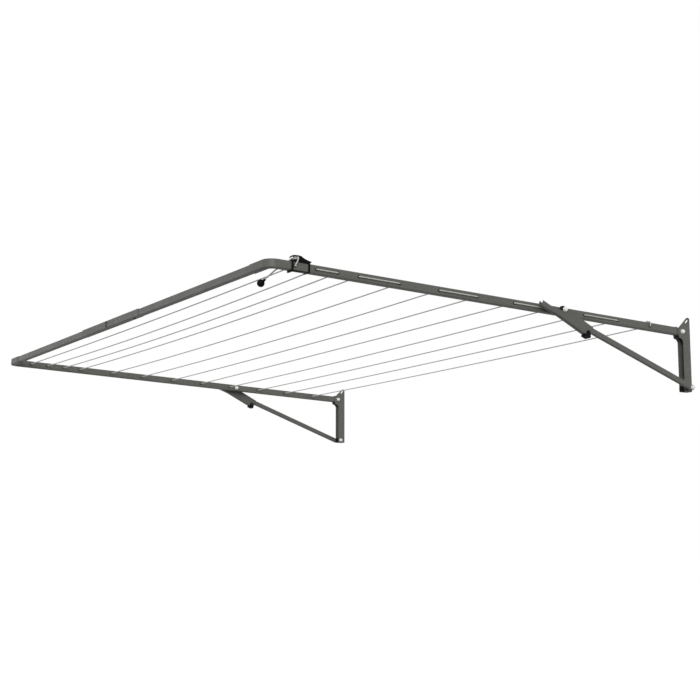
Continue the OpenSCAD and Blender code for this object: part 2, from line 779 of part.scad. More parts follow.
// Wire spring round the latch pin, beside the cam
module latch_spring(side) {
    steps = spring_steps * spring_turns;
    color(zinc) on_side(side) in_brace() translate([0, -pin_at[0], pin_at[1]])
        sweep([for (k = [0 : steps])
            [spring_x[0] + (spring_x[1] - spring_x[0]) * k / steps,
             spring_r * cos(360 * k / spring_steps), spring_r * sin(360 * k / spring_steps)]],
            spring_wire_r, [1, 0, 0], 6);
}
module latch_spring_left() { latch_spring(-1); }
module latch_spring_right() { latch_spring(1); }

module strut(side) {
    far = strut_run + strut_end_u;
    color(paint) on_side(side) in_brace() translate([strut_mid, strut_run, -strut_drop])
        difference() {
            union() {
                rotate([90, 0, 0]) linear_extrude(far) round_rect(strut_w, strut_h, strut_r);
                x_rod(strut_h / 2, -strut_w / 2, strut_w / 2);
            }
            translate([0, -strut_solid, 0]) rotate([90, 0, 0]) linear_extrude(far)
                square([strut_w - 2 * strut_wall, strut_h - 2 * strut_wall], center = true);
            x_rod(bolt_hole_r, -strut_w, strut_w);
        }
}
module strut_left() { strut(-1); }
module strut_right() { strut(1); }

module strut_cap(side) {
    inside = 2 * strut_wall + 0.1;
    color(black) on_side(side) in_brace() translate([strut_mid, -strut_end_u, -strut_drop])
        rotate([90, 0, 0]) {
            linear_extrude(2) round_rect(strut_w, strut_h, strut_r);
            translate([0, 0, -10]) linear_extrude(10)
                square([strut_w - inside, strut_h - inside], center = true);
        }
}
module strut_cap_left() { strut_cap(-1); }
module strut_cap_right() { strut_cap(1); }

// Foot pivot of a strut: the bolt's stub and its spacer stop just short of the bracket
module at_foot(side) {
    on_side(side) translate([0, foot_y, -foot_drop]) children();
}
module strut_spacer(side) {
    color(black) at_foot(side) difference() {
        x_rod(spacer_r, side_gap + bracket_t + play, strut_mid - strut_w / 2);
        x_rod(bolt_hole_r, 0, strut_mid);
    }
}
module strut_spacer_left() { strut_spacer(-1); }
module strut_spacer_right() { strut_spacer(1); }
module strut_bolt(side) {
    color(zinc) at_foot(side) {
        x_rod(bolt_r, side_gap + bracket_t + play, strut_mid + strut_w / 2);
        translate([strut_mid + strut_w / 2, 0, 0]) hex_head(1);
    }
}
module strut_bolt_left() { strut_bolt(-1); }
module strut_bolt_right() { strut_bolt(1); }

wall_bracket_left();
wall_bracket_right();
bracket_foot_left();
bracket_foot_right();
pivot_bolts();
pivot_nuts();
foot_bolts();
arm_left();
arm_right();
arm_plug_left();
arm_plug_right();
pivot_bushes();
front_bar_left();
front_bar_right();
joiner_left();
joiner_right();
bar_spigot();
joiner_screws();
corner_screws();
grommets_left();
grommets_right();
clothes_line();
line_lead();
line_end();
line_tensioner();
tensioner_keeper();
cleat_wraps();
cord_tail();
cord_ball();
brace_bolts();
brace_nuts();
brace_spacers();
brace_channel_left();
brace_channel_right();
channel_bush_left();
channel_bush_right();
strut_guides_left();
strut_guides_right();
latch_lever_left();
latch_lever_right();
latch_pin_left();
latch_pin_right();
latch_spring_left();
latch_spring_right();
strut_left();
strut_right();
strut_cap_left();
strut_cap_right();
strut_spacer_left();
strut_spacer_right();
strut_bolt_left();
strut_bolt_right();
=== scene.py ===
"""Looks of the wall mounted fold-down clothesline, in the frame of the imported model.

X runs along the wall, -Y points out of it and +Z is up. Lengths are in metres. Places on the
folding frame are given as (x, s, n): s along an arm from the fold pivot, n above its axis.
"""
import json
from math import cos, pi, radians, sin, tan

import bmesh
import bpy
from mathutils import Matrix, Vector


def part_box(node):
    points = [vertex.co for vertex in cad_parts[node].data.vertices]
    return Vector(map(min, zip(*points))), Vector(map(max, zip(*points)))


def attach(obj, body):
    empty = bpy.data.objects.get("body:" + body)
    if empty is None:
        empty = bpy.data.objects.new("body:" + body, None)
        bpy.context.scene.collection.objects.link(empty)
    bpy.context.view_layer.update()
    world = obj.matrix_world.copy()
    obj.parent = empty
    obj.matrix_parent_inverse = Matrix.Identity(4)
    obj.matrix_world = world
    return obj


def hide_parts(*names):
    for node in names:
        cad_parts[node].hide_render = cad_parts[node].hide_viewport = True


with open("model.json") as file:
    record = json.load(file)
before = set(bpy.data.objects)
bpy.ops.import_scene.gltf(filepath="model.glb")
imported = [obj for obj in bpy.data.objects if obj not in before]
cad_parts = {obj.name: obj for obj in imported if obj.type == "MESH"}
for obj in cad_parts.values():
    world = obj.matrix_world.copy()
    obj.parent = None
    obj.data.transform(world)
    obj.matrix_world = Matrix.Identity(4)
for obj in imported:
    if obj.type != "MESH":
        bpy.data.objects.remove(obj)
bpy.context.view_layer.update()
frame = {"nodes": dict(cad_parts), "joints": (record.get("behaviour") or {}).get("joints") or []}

MM = 0.001
joints = {joint["name"]: joint for joint in frame["joints"]}
pivot = Vector(joints["frame_fold"]["pos_m"])
brace_pivot = Vector(joints["brace_swing_right"]["pos_m"])

ARM_TILT = radians(2)
arm_axis = Vector((0, -cos(ARM_TILT), sin(ARM_TILT)))
arm_up = Vector((0, sin(ARM_TILT), cos(ARM_TILT)))

half_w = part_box("arm_right")[1][0]
TUBE_W = 22 * MM  # an arm's width along X
SIDES = ((-1, "left"), (1, "right"))


def on_frame(x, s, n):
    return Vector((x, 0, 0)) + pivot + s * arm_axis + n * arm_up


def outboard(side, d):
    """x at a distance d outboard of an arm's outer face; side is 1 on the right, -1 on the left."""
    return side * (half_w + d)


# ------------------------------------------------------------------ camera

def make_camera():
    """Below the frame and in front of its right end, where the photo's camera stands."""
    data = bpy.data.cameras.new("camera")
    data.lens = 70.99
    data.sensor_width = 36
    camera = bpy.data.objects.new("camera", data)
    camera.location = (4.3585, -3.3439, -0.7735)
    camera.rotation_euler = (radians(98.98), 0, radians(58.21))
    bpy.context.scene.collection.objects.link(camera)
    bpy.context.scene.camera = camera


make_camera()


# ------------------------------------------------------------------ mesh helpers

def add_object(name, bm, body, material, nodes):
    """Turns a bmesh into a smooth piece that rides on a body and stands for CAD nodes."""
    bmesh.ops.recalc_face_normals(bm, faces=bm.faces)
    mesh = bpy.data.meshes.new(name)
    bm.to_mesh(mesh)
    bm.free()
    mesh.polygons.foreach_set("use_smooth", [True] * len(mesh.polygons))
    obj = bpy.data.objects.new(name, mesh)
    bpy.context.scene.collection.objects.link(obj)
    mesh.materials.append(material)
    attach(obj, body)
    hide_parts(*nodes)
    return obj


def sharpen(bm, angle):
    for edge in bm.edges:
        if len(edge.link_faces) == 2 and edge.calc_face_angle(0) > angle:
            edge.smooth = False


MERGE = 0.002 * MM
FLAT = radians(0.3)  # faces closer than this to one plane become one face
CORNER = radians(28)  # edges sharper than this are eased


def refined(node, body, material, bevel, segments=2):
    """A copy of a CAD node with its edges eased, standing for that node."""
    bm = bmesh.new()
    bm.from_mesh(frame["nodes"][node].data)
    bmesh.ops.remove_doubles(bm, verts=bm.verts, dist=MERGE)
    bmesh.ops.dissolve_limit(bm, angle_limit=FLAT, verts=bm.verts, edges=bm.edges)
    edges = [e for e in bm.edges if len(e.link_faces) == 2 and e.calc_face_angle(0) > CORNER]
    bmesh.ops.bevel(bm, geom=edges, offset=bevel, offset_type="OFFSET", segments=segments,
                    profile=0.5, affect="EDGES", clamp_overlap=False)
    obj = add_object(node + "_skin", bm, body, material, [node])
    weighted = obj.modifiers.new("flat faces", "WEIGHTED_NORMAL")
    weighted.weight = 100
    weighted.keep_sharp = True
    return obj


def frames_along(path):
    """Tangent and two normals at each point, carried along without twist."""
    count = len(path)
    tangents = [(path[min(i + 1, count - 1)] - path[max(i - 1, 0)]).normalized()
                for i in range(count)]
    normal = tangents[0].orthogonal().normalized()
    out = []
    for i, tangent in enumerate(tangents):
        if i:
            turn = tangents[i - 1].rotation_difference(tangent)
            normal = (turn @ normal).normalized()
        normal = (normal - tangent * normal.dot(tangent)).normalized()
        out.append((tangent, normal, tangent.cross(normal)))
    return out


END_RINGS = (0.92, 0.6, 0.2)  # rings of a rounded end, as parts of the radius


def tube_mesh(bm, path, radius, sides, round_ends=True):
    """A round cord along a path. UVs hold its length in metres and its turn from 0 to 1."""
    uv = bm.loops.layers.uv.verify()
    frames = frames_along(path)
    rings = []
    lengths = []
    run = 0.0
    stations = [(path[i], frames[i], radius) for i in range(len(path))]
    if round_ends:
        head = [(path[0] - frames[0][0] * radius * k, frames[0], radius * (1 - k * k) ** 0.5)
                for k in END_RINGS]
        tail = [(path[-1] + frames[-1][0] * radius * k, frames[-1], radius * (1 - k * k) ** 0.5)
                for k in reversed(END_RINGS)]
        stations = head + stations + tail
    last = stations[0][0]
    for centre, (_, a, b), r in stations:
        run += (centre - last).length
        last = centre
        lengths.append(run)
        rings.append([bm.verts.new(centre + r * (cos(2 * pi * k / sides) * a
                                                 + sin(2 * pi * k / sides) * b))
                      for k in range(sides)])
    for i in range(len(rings) - 1):
        for k in range(sides):
            m = (k + 1) % sides
            face = bm.faces.new((rings[i][k], rings[i][m], rings[i + 1][m], rings[i + 1][k]))
            corners = ((i, k), (i, k + 1), (i + 1, k + 1), (i + 1, k))
            for loop, (ring, step) in zip(face.loops, corners):
                loop[uv].uv = (lengths[ring], step / sides)
    bm.faces.new(rings[0])
    bm.faces.new(rings[-1])


def curve_through(points, step):
    """Points on a smooth curve through the given ones, about a step apart."""
    ends = [2 * points[0] - points[1]] + list(points) + [2 * points[-1] - points[-2]]
    out = [points[0].copy()]
    for p0, p1, p2, p3 in zip(ends, ends[1:], ends[2:], ends[3:]):
        count = max(2, round((p2 - p1).length / step))
        for k in range(1, count + 1):
            t = k / count
            out.append(0.5 * (2 * p1 + (p2 - p0) * t + (2 * p0 - 5 * p1 + 4 * p2 - p3) * t * t
                              + (3 * p1 - p0 - 3 * p2 + p3) * t ** 3))
    return out


def lathe(bm, profile, origin, axis, sides):
    """Turns (radius, height) points about an axis; a radius of 0 closes an end."""
    axis = axis.normalized()
    a = axis.orthogonal().normalized()
    b = axis.cross(a)
    rings = []
    for r, h in profile:
        centre = origin + axis * h
        if r < 1e-7:
            rings.append([bm.verts.new(centre)] * sides)
        else:
            rings.append([bm.verts.new(centre + r * (cos(2 * pi * k / sides) * a
                                                     + sin(2 * pi * k / sides) * b))
                          for k in range(sides)])
    for low, high in zip(rings, rings[1:]):
        for k in range(sides):
            m = (k + 1) % sides
            corners = []
            for vert in (low[k], low[m], high[m], high[k]):
                if vert not in corners:
                    corners.append(vert)
            if len(corners) > 2:
                bm.faces.new(corners)


# ------------------------------------------------------------------ materials

def node_material(name, base, roughness, metallic=0.0, specular=0.5):
    material = bpy.data.materials.new(name)
    material.use_nodes = True
    shader = material.node_tree.nodes["Principled BSDF"]
    shader.inputs["Base Color"].default_value = (*base, 1)
    shader.inputs["Roughness"].default_value = roughness
    shader.inputs["Metallic"].default_value = metallic
    shader.inputs["Specular IOR Level"].default_value = specular
    return material, material.node_tree, shader


def shade(color, factor):
    return tuple(min(1, c * factor) for c in color)


def add_node(tree, kind, **settings):
    node = tree.nodes.new(kind)
    for key, value in settings.items():
        if key in node.inputs:
            node.inputs[key].default_value = value
        else:
            setattr(node, key, value)
    return node


def noise_at(tree, scale, detail, stretch=None):
    """Noise of so many cells per metre of the object, stretched by factors on X, Y and Z."""
    coords = tree.nodes.new("ShaderNodeTexCoord")
    vector = coords.outputs["Object"]
    if stretch:
        mapping = tree.nodes.new("ShaderNodeMapping")
        mapping.inputs["Scale"].default_value = stretch
        tree.links.new(vector, mapping.inputs["Vector"])
        vector = mapping.outputs["Vector"]
    node = add_node(tree, "ShaderNodeTexNoise", Scale=scale, Detail=detail)
    tree.links.new(vector, node.inputs["Vector"])
    return node.outputs["Fac"]


def ramp(tree, value, stops):
    """A colour that runs through stops of (value, colour)."""
    node = tree.nodes.new("ShaderNodeValToRGB")
    elements = node.color_ramp.elements
    while len(elements) < len(stops):
        elements.new(0.5)
    for element, (position, color) in zip(elements, stops):
        element.position = position
        element.color = (*color, 1)
    tree.links.new(value, node.inputs["Fac"])
    return node.outputs["Color"]


def between(tree, value, low, high, out_low, out_high):
    """Maps low..high of a value to out_low..out_high, and holds it there outside."""
    node = tree.nodes.new("ShaderNodeMapRange")
    for key, number in zip(("From Min", "From Max", "To Min", "To Max"),
                           (low, high, out_low, out_high)):
        node.inputs[key].default_value = number
    tree.links.new(value, node.inputs["Value"])
    return node.outputs["Result"]


def mixed(tree, factor, first, second):
    node = tree.nodes.new("ShaderNodeMix")
    node.data_type = "RGBA"
    tree.links.new(factor, node.inputs["Factor"])
    for socket, value in ((node.inputs["A"], first), (node.inputs["B"], second)):
        if isinstance(value, tuple):
            socket.default_value = (*value, 1)
        else:
            tree.links.new(value, socket)
    return node.outputs["Result"]


def times(tree, first, second):
    node = tree.nodes.new("ShaderNodeMath")
    node.operation = "MULTIPLY"
    for socket, value in zip(node.inputs, (first, second)):
        if isinstance(value, float):
            socket.default_value = value
        else:
            tree.links.new(value, socket)
    return node.outputs["Value"]


def bumped(tree, shader, layers):
    """Adds bump layers of (height, strength, distance in metres), finest last."""
    normal = None
    for height, strength, distance in layers:
        bump = add_node(tree, "ShaderNodeBump", Strength=strength, Distance=distance)
        tree.links.new(height, bump.inputs["Height"])
        if normal:
            tree.links.new(normal, bump.inputs["Normal"])
        normal = bump.outputs["Normal"]
    tree.links.new(normal, shader.inputs["Normal"])


def worn_edges(tree, low, high):
    """0 on flat surfaces and up to 1 on convex edges, broken up."""
    geometry = tree.nodes.new("ShaderNodeNewGeometry")
    edge = between(tree, geometry.outputs["Pointiness"], low, high, 0.0, 1.0)
    return times(tree, edge, between(tree, noise_at(tree, 240, 4), 0.42, 0.62, 0.0, 1.0))


def paint(name, base):
    """Satin powder coat: faint clouding, orange peel and rubbed edges."""
    material, tree, shader = node_material(name, base, 0.5, specular=0.2)
    cloud = ramp(tree, noise_at(tree, 7, 4), ((0.3, shade(base, 0.93)), (0.7, shade(base, 1.06))))
    fleck = between(tree, noise_at(tree, 900, 1), 0.35, 0.65, 0.0, 0.22)
    color = mixed(tree, fleck, cloud, shade(base, 0.88))
    rubbed = times(tree, worn_edges(tree, 0.53, 0.60), 0.4)
    color = mixed(tree, rubbed, color, shade(base, 1.8))
    tree.links.new(color, shader.inputs["Base Color"])
    rough = between(tree, noise_at(tree, 45, 5), 0.3, 0.7, 0.46, 0.6)
    tree.links.new(rough, shader.inputs["Roughness"])
    bumped(tree, shader, ((noise_at(tree, 420, 2), 0.08, 0.3 * MM),
                          (noise_at(tree, 1600, 2), 0.05, 0.1 * MM)))
    return material


SCUFF = (0.012, 0.012, 0.012)


def moulded_plastic(name, base, roughness):
    """Matt moulded plastic: fine grain, faint clouding and scuffed edges."""
    material, tree, shader = node_material(name, base, roughness, specular=0.04)
    light = tuple(c * 1.5 + 0.001 for c in base)
    cloud = ramp(tree, noise_at(tree, 60, 3), ((0.35, base), (0.75, light)))
    worn = times(tree, worn_edges(tree, 0.53, 0.62), 0.4)
    scuffed = mixed(tree, worn, cloud, SCUFF)
    tree.links.new(scuffed, shader.inputs["Base Color"])
    rough = between(tree, noise_at(tree, 150, 4), 0.3, 0.7, roughness - 0.08, roughness + 0.1)
    tree.links.new(rough, shader.inputs["Roughness"])
    bumped(tree, shader, ((noise_at(tree, 2600, 2), 0.25, 0.08 * MM),))
    return material


def plated_steel(name, base, roughness):
    """Dull plating: clouded, with fine streaks along Z in its gloss."""
    material, tree, shader = node_material(name, base, roughness, metallic=0.35)
    cloud = ramp(tree, noise_at(tree, 220, 5), ((0.3, shade(base, 0.86)), (0.62, base)))
    tree.links.new(cloud, shader.inputs["Base Color"])
    streaks = noise_at(tree, 500, 3, stretch=(1, 1, 9))
    tree.links.new(between(tree, streaks, 0.3, 0.7, roughness - 0.07, roughness + 0.12),
                   shader.inputs["Roughness"])
    bumped(tree, shader, ((streaks, 0.08, 0.05 * MM),))
    return material


# stretch along and round the cord; with WAVE_SCALE, about 56 ribs a metre and 3 round it
RIB_SCALE = (110, 6, 1)
WAVE_SCALE = 0.3183


def cord_skin(name, base):
    """Plastic skin drawn over a fibre core: shallow twisted ribs and handling marks."""
    material, tree, shader = node_material(name, base, 0.48)
    grime = ramp(tree, noise_at(tree, 90, 4), ((0.25, shade(base, 0.82)), (0.6, base)))
    tree.links.new(grime, shader.inputs["Base Color"])
    coords = tree.nodes.new("ShaderNodeTexCoord")
    ribs = tree.nodes.new("ShaderNodeMapping")
    ribs.inputs["Scale"].default_value = RIB_SCALE
    tree.links.new(coords.outputs["UV"], ribs.inputs["Vector"])
    wave = add_node(tree, "ShaderNodeTexWave", Scale=WAVE_SCALE, Distortion=0.0)
    wave.bands_direction = "DIAGONAL"
    tree.links.new(ribs.outputs["Vector"], wave.inputs["Vector"])
    bumped(tree, shader, ((wave.outputs["Fac"], 0.5, 0.25 * MM),
                          (noise_at(tree, 3000, 2), 0.15, 0.05 * MM)))
    tree.links.new(between(tree, noise_at(tree, 400, 3), 0.3, 0.7, 0.42, 0.58),
                   shader.inputs["Roughness"])
    return material


grey = paint("grey_powder_coat", (0.046, 0.047, 0.042))
inner_grey = paint("inner_grey", (0.045, 0.046, 0.042))
black = moulded_plastic("black_plastic", (0.0015, 0.0015, 0.0015), 0.5)
zinc = plated_steel("zinc_plate", (0.44, 0.44, 0.43), 0.30)
pin_steel = plated_steel("black_oxide", (0.005, 0.005, 0.005), 0.4)
wire = plated_steel("spring_wire", (0.50, 0.50, 0.51), 0.26)
cord = cord_skin("cord_skin", (0.22, 0.22, 0.21))


# ------------------------------------------------------------------ free tail of the line

CORD_R = 2 * MM
BALL_FIT = 0.985  # half the ball's length along the cord, as a part of the CAD ball's radius
BALL_STEPS = 26
SEAM_RISE = 0.012  # the parting seam stands this part of the radius proud
SEAM_HALF = 0.06  # half the seam's width, in radians
# (distance outboard of the arm's outer face, s, n) in mm
TAIL_ROUTE_MM = (
    (-19.6, 1462, 24.6), (-20.5, 1467, 25.2), (-22, 1472, 24), (-25, 1477, 20.5),
    (-28.2, 1482, 15), (-29.5, 1487, 9), (-31, 1493, 3), (-34.5, 1501, -3), (-40, 1510, -9),
    (-48, 1516, -16), (-56, 1520.6, -23), (-64, 1525.4, -30), (-73.5, 1531.1, -38.3),
)


def make_ball(centre, radius, axis):
    """A moulded ball with a parting seam round its middle and a collar where the cord enters."""
    bm = bmesh.new()
    inner = radius * BALL_FIT
    profile = [(0, -inner)]
    for k in range(1, BALL_STEPS):
        a = -pi / 2 + pi * k / BALL_STEPS
        seam = 1 + SEAM_RISE * (abs(a) < SEAM_HALF)
        profile.append((radius * cos(a) * seam, inner * sin(a)))
    profile.append((0, inner))
    lathe(bm, profile, centre, axis, 56)
    # (radius in mm, height as a part of the ball's radius)
    collar = ((4.6, -0.8), (4.2, -1.05), (3.5, -1.35), (3.2, -1.6), (2.6, -1.64), (2.2, -1.6),
              (2.2, -0.8))
    lathe(bm, [(r * MM, radius * h) for r, h in collar], centre, axis, 40)
    ball = add_object("pull_ball", bm, "line_frame", black, ["cord_ball"])
    return ball


def make_tail():
    """The free end of the line: from the cleat over the arm's inner edge to a pull ball."""
    low, high = (Vector(corner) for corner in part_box("cord_ball"))
    centre = (low + high) / 2
    radius = (high.x - low.x) / 2
    points = [on_frame(outboard(1, x * MM), s * MM, n * MM) for x, s, n in TAIL_ROUTE_MM]
    path = curve_through(points, 1.5 * MM)
    bm = bmesh.new()
    tube_mesh(bm, path, CORD_R, 16)
    tail = add_object("line_tail", bm, "line_frame", cord, ["cord_tail"])
    last_stretch = path[-1] - path[-6]
    ball = make_ball(centre, radius, last_stretch.normalized())


make_tail()


# ------------------------------------------------------------------ strung line

BACK_LINE = 144 * MM  # s of the line nearest the wall
PITCH = 140 * MM
LINES = 12
HALF_GAPS = 3  # gaps of half a pitch at the front
SAG_MM = (6, 12, 12, 10, 9, 8, 5, 2, 6, 6, 5, 5)  # front line first
RUN_OFF = 3.2 * MM  # from an arm's outer face to the axis of the run outside it
TURN_R = 3 * MM
BORE_LIP = 1 * MM  # a line starts to sag this far inside an arm's inner face
BRACE_RUN = 8  # the outside run after this span meets the brace bolt
BRACE_AT = (brace_pivot - Vector((brace_pivot.x, pivot.y, pivot.z))).length
SPACER_R = 8 * MM
SPACER_ARC = range(74, 97, 4)  # where the run lies on the spacer, in degrees about the bolt


def hole_s(i):
    """s of hole i; hole 0 is the front one."""
    if i <= HALF_GAPS:
        return BACK_LINE + PITCH * (LINES - 1 - HALF_GAPS + (HALF_GAPS - i) / 2)
    return BACK_LINE + PITCH * (LINES - 1 - i)


def quarter_turn(side, s, toward):
    """From the bore's mouth round to the outside run; toward is the way that it turns along s."""
    steps = 6
    out = []
    for k in range(steps + 1):
        a = pi / 2 * k / steps
        x = outboard(side, RUN_OFF - TURN_R + TURN_R * sin(a))
        out.append((x, s + toward * TURN_R * (1 - cos(a)), 0))
    return out


def span(i, side):
    """Line i from the arm on one side to the other, sagging as a parabola."""
    inner = half_w - TUBE_W - BORE_LIP
    depth = SAG_MM[i] * MM
    count = 36
    out = []
    for k in range(count + 1):
        f = 1 - 2 * k / count
        out.append((side * inner * f, hole_s(i), -depth * (1 - f * f)))
    return out


def over_spacer(side):
    """The run that meets the brace bolt is led over its spacer."""
    r = SPACER_R + CORD_R + 0.3 * MM
    return [(outboard(side, RUN_OFF), BRACE_AT + r * cos(radians(a)), r * sin(radians(a)))
            for a in SPACER_ARC]


def line_route():
    """The whole line, laced to and fro from the cleat's side at the front to the wall."""
    out = []
    for i in range(LINES):
        side = 1 if i % 2 == 0 else -1
        out += reversed(quarter_turn(side, hole_s(i), 1 if i else -1))
        out += span(i, side)
        if i == LINES - 1:
            out += [(outboard(-side, 0.5 * MM), hole_s(i), 0)]
        else:
            out += quarter_turn(-side, hole_s(i), -1)
        if i == BRACE_RUN:
            out += over_spacer(-side)
    return [on_frame(*point) for point in out]


def make_line():
    bm = bmesh.new()
    tube_mesh(bm, line_route(), CORD_R, 12)
    add_object("strung_line", bm, "line_frame", cord, ["clothes_line"])


WRAP_TURNS = 2
WRAP_STEPS = 72  # per turn
WRAP_R = 6.2 * MM
WRAP_HALF = 3 * MM  # half the straight part of a turn, along the arm
WRAP_N = (22.5 * MM, 26.6 * MM)  # heights of the two turns
POST_S = 1462 * MM
KNOT_X = -12 * MM
KNOT_N = 16.5 * MM
KNOT_R = 1.25 * MM
KNOT_RISE = 1.6 * MM


def lead_route():
    points = ((-4.8, 1462, 26.8), (-1.4, 1463.4, 26.6), (2.6, 1464.6, 23.5), (5.1, 1466.2, 18),
              (5.4, 1468.4, 12), (4.6, 1471, 6.5), (3.6, 1472.6, 2.2), (2.6, 1474, 0))
    return [on_frame(outboard(1, x * MM), s * MM, n * MM) for x, s, n in points]


def make_lead_and_wraps():
    """Two turns round the cleat's post, then down the arm's outer face to the first hole."""
    low, high = WRAP_N
    path = []
    for k in range(WRAP_TURNS * WRAP_STEPS + 1):
        a = 2 * pi * k / WRAP_STEPS - pi / 2
        lean = max(-1.0, min(1.0, sin(a) * 2))
        x = outboard(1, -TUBE_W / 2 + WRAP_R * cos(a))
        s = POST_S + WRAP_R * sin(a) + WRAP_HALF * lean
        climb = min(1.0, max(0.0, k / WRAP_STEPS - 0.5))
        path.append(on_frame(x, s, low + (high - low) * climb))
    bm = bmesh.new()
    tube_mesh(bm, path, CORD_R, 14)
    wraps = add_object("line_wraps", bm, "line_frame", cord, ["cleat_wraps"])
    bm = bmesh.new()
    tube_mesh(bm, curve_through(lead_route(), 1 * MM), CORD_R, 14)
    add_object("line_from_cleat", bm, "line_frame", cord, ["line_lead"])


def make_tied_end():
    """Out of the last hole, up over the arm, and an overhand knot on top."""
    s = hole_s(LINES - 1)
    points = ((0.5, 0), (2.2, 0.8), (3.2, 4), (3.2, 9), (2.2, 13.2), (-1, 15), (-5, 14.8),
              (-8, 14.8))
    route = [on_frame(outboard(1, x * MM), s, n * MM) for x, n in points]
    bm = bmesh.new()
    tube_mesh(bm, curve_through(route, 1 * MM), CORD_R, 14)
    knot = []
    steps = 72
    for k in range(steps + 1):
        a = 2 * pi * k / steps
        x = outboard(1, KNOT_X + KNOT_R * (sin(a) + 2 * sin(2 * a)))
        y = KNOT_R * (cos(a) - 2 * cos(2 * a))
        knot.append(on_frame(x, s + y, KNOT_N - KNOT_RISE * sin(3 * a)))
    tube_mesh(bm, knot, CORD_R * 0.85, 12, round_ends=False)
    add_object("line_knot", bm, "line_frame", cord, ["line_end"])


make_line()
make_lead_and_wraps()
make_tied_end()


# ------------------------------------------------------------------ fasteners

HEX_R = 6.9 * MM  # to the hexagon's corners
HEX_FLAT = HEX_R * cos(pi / 6)
FLANGE_R = 7.7 * MM
FLANGE_H = 1.3 * MM
HEAD_H = 6.7 * MM
NUT_H = 6.5 * MM
DOME = 0.15 * MM  # rise of a bolt head's middle
BOLT_R = 4 * MM
BOLT_END = 8.5 * MM  # a bolt ends this far past its nut's seat
THREADED = 10 * MM
THREAD = 1.25 * MM
THREAD_DEPTH = 0.6 * MM
POINT = 0.8 * MM  # chamfer at a bolt's end
PLAY = 0.3 * MM


def hex_body(bm, seat, axis, height, bore=0.0):
    """Chamfered hexagon on a domed flange, with an optional bore."""
    axis = axis.normalized()
    a = axis.orthogonal().normalized()
    b = axis.cross(a)
    sides = 72
    flat = HEX_FLAT

    def hex_radius(angle):
        return flat / cos((angle % (pi / 3)) - pi / 6)

    def top(r):
        return height - max(0.0, r - flat * 0.94) * tan(radians(30))

    rings = [lambda t: (bore, 0.0), lambda t: (FLANGE_R * 0.96, 0.0),
             lambda t: (FLANGE_R, 0.3 * MM), lambda t: (FLANGE_R * 0.98, 0.8 * MM),
             lambda t: (max(hex_radius(t) + 0.15 * MM, flat * 1.04), FLANGE_H),
             lambda t: (hex_radius(t), FLANGE_H + 0.4 * MM),
             lambda t: (hex_radius(t), top(hex_radius(t)) - 0.1 * MM),
             lambda t: (hex_radius(t) * 0.985, top(hex_radius(t))),
             lambda t: (flat * 0.94, height), lambda t: (flat * 0.88, height)]
    if bore:
        rings += [lambda t: (bore + 0.3 * MM, height), lambda t: (bore, height - 0.3 * MM),
                  lambda t: (bore, 0.0)]
    else:
        rings += [lambda t: (flat * 0.5, height + 0.1 * MM),
                  lambda t: (flat * 0.02, height + DOME)]
    made = []
    for ring in rings:
        verts = []
        for k in range(sides):
            t = 2 * pi * k / sides
            r, h = ring(t)
            r = max(r, 0.02 * MM)
            verts.append(bm.verts.new(seat + axis * h + r * (cos(t) * a + sin(t) * b)))
        made.append(verts)
    for low, high in zip(made, made[1:]):
        for k in range(sides):
            m = (k + 1) % sides
            bm.faces.new((low[k], low[m], high[m], high[k]))


def shank(bm, start, end, threaded=0.0):
    """A plain shank that ends in a chamfered thread of a given length."""
    axis = end - start
    length = axis.length
    profile = [(0, 0), (BOLT_R, 0)]
    h = length - threaded
    profile.append((BOLT_R, h))
    while threaded and h < length - 2 * POINT:
        profile += [(BOLT_R, h + 0.3 * THREAD), (BOLT_R - THREAD_DEPTH, h + 0.5 * THREAD),
                    (BOLT_R, h + 0.7 * THREAD)]
        h += THREAD
    profile += [(BOLT_R, length - POINT), (BOLT_R - POINT, length), (0, length)]
    lathe(bm, profile, start, axis, 32)


def fastener(name, bm, body, node):
    """A zinc plated piece whose edges over 32 degrees stay sharp."""
    bmesh.ops.remove_doubles(bm, verts=bm.verts, dist=MERGE / 2)
    sharpen(bm, radians(32))
    add_object(name, bm, body, zinc, [node])


def bolt_set(name, body, node, places):
    """places: (seat, outward direction, far end of the shank, threaded length)."""
    bm = bmesh.new()
    for seat, direction, end, threaded in places:
        hex_body(bm, seat, direction, HEAD_H - DOME)
        shank(bm, seat, end, threaded)
    fastener(name, bm, body, node)


def nut_set(name, body, node, places):
    """places: (seat, outward direction)."""
    bm = bmesh.new()
    for seat, direction in places:
        hex_body(bm, seat, direction, NUT_H, BOLT_R + 0.05 * MM)
    fastener(name, bm, body, node)


